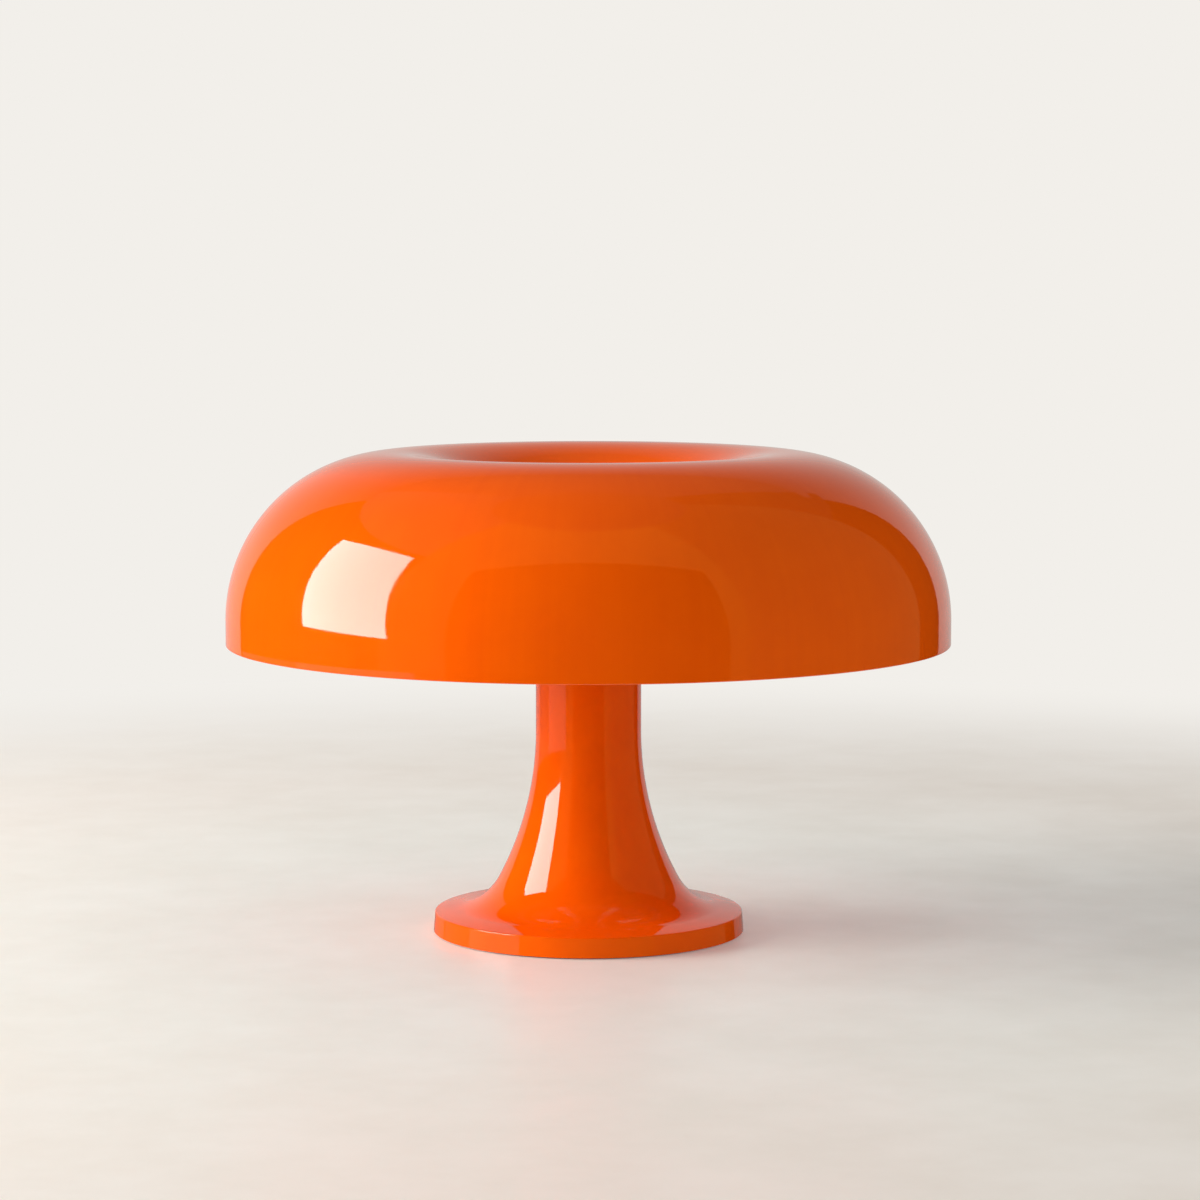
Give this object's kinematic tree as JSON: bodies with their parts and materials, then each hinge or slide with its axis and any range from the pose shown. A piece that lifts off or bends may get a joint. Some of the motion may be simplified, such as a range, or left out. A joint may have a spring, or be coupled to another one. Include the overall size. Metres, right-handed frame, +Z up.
{
  "type": "mushroom table lamp",
  "caption": "Mushroom table lamp: a wide ring-shaped domed shade with a central funnel, on a plain stem that flares into a thin disc foot, with bulbs and wiring inside.",
  "frame": {"origin": "centre of the foot, on the surface that the lamp stands on", "axes": "+Z up along the stem; the cord inlet is at the back, +Y; the front is -Y"},
  "size_m": [0.5399, 0.54, 0.3605],
  "materials": {
    "orange_moulding": "polished moulding",
    "black_rubber": "matt",
    "zinc_plated_steel": "zinc plated",
    "ballast_iron": "as cast, dipped in black paint",
    "white_polyester": "moulded",
    "natural_nylon": "moulded",
    "black_nylon": "moulded",
    "brass_strip": "rolled",
    "opal_glass": "opal",
    "nickel_cap": "nickel plated",
    "lead_insulation": "silicone sleeve"
  },
  "bodies": {
    "lamp_base": {"pedestal": "orange_moulding", "seat_ring": "white_polyester", "seat_gasket": "black_rubber", "lamp_carrier": "zinc_plated_steel", "tie_tube": "zinc_plated_steel", "tie_nuts": "zinc_plated_steel", "tie_washers": "zinc_plated_steel", "ballast": "ballast_iron", "base_plate": "zinc_plated_steel", "base_screws": "zinc_plated_steel", "foot_pad": "black_rubber", "switch_body": "black_nylon", "terminal_block": "natural_nylon", "terminal_screws": "brass_strip", "inlet_bush": "black_rubber", "switch_leads": "lead_insulation", "stem_leads": "lead_insulation", "stem_connector": "natural_nylon", "holder_screws": "zinc_plated_steel", "lampholder_1": "white_polyester", "screw_shell_1": "brass_strip", "centre_contact_1": "brass_strip", "lamp_leads_1": "lead_insulation", "lampholder_2": "white_polyester", "screw_shell_2": "brass_strip", "centre_contact_2": "brass_strip", "lamp_leads_2": "lead_insulation", "lampholder_3": "white_polyester", "screw_shell_3": "brass_strip", "centre_contact_3": "brass_strip", "lamp_leads_3": "lead_insulation", "lampholder_4": "white_polyester", "screw_shell_4": "brass_strip", "centre_contact_4": "brass_strip", "lamp_leads_4": "lead_insulation"},
    "shade": {"shade": "orange_moulding", "shade_cap_washer": "black_rubber"},
    "cap_nut": {"shade_cap_nut": "orange_moulding"},
    "button": {"push_button": "orange_moulding"},
    "bulb_1": {"bulb_glass_1": "opal_glass", "bulb_cap_1": "nickel_cap"},
    "bulb_2": {"bulb_glass_2": "opal_glass", "bulb_cap_2": "nickel_cap"},
    "bulb_3": {"bulb_glass_3": "opal_glass", "bulb_cap_3": "nickel_cap"},
    "bulb_4": {"bulb_glass_4": "opal_glass", "bulb_cap_4": "nickel_cap"}
  },
  "joints": [
    {"name": "shade_lift", "type": "slide", "parent": "lamp_base", "child": "shade", "axis": [0, 0, 1], "range_m": [0, 0.15]},
    {"name": "cap_nut_turn", "type": "hinge", "parent": "shade", "child": "cap_nut", "pos_m": [0, 0, 0.26], "axis": [0, 0, 1], "continuous": true},
    {"name": "button_press", "type": "slide", "parent": "lamp_base", "child": "button", "axis": [0, 0, -1], "range_m": [0, 0.0025], "stiffness_N_per_m": 600, "springref_m": -0.002},
    {"name": "bulb_1_turn", "type": "hinge", "parent": "lamp_base", "child": "bulb_1", "pos_m": [0.04031, 0.04031, 0.251], "axis": [0.6645, 0.6645, 0.342], "continuous": true},
    {"name": "bulb_2_turn", "type": "hinge", "parent": "lamp_base", "child": "bulb_2", "pos_m": [-0.04031, 0.04031, 0.251], "axis": [-0.6645, 0.6645, 0.342], "continuous": true},
    {"name": "bulb_3_turn", "type": "hinge", "parent": "lamp_base", "child": "bulb_3", "pos_m": [-0.04031, -0.04031, 0.251], "axis": [-0.6645, -0.6645, 0.342], "continuous": true},
    {"name": "bulb_4_turn", "type": "hinge", "parent": "lamp_base", "child": "bulb_4", "pos_m": [0.04031, -0.04031, 0.251], "axis": [0.6645, -0.6645, 0.342], "continuous": true}
  ]
}
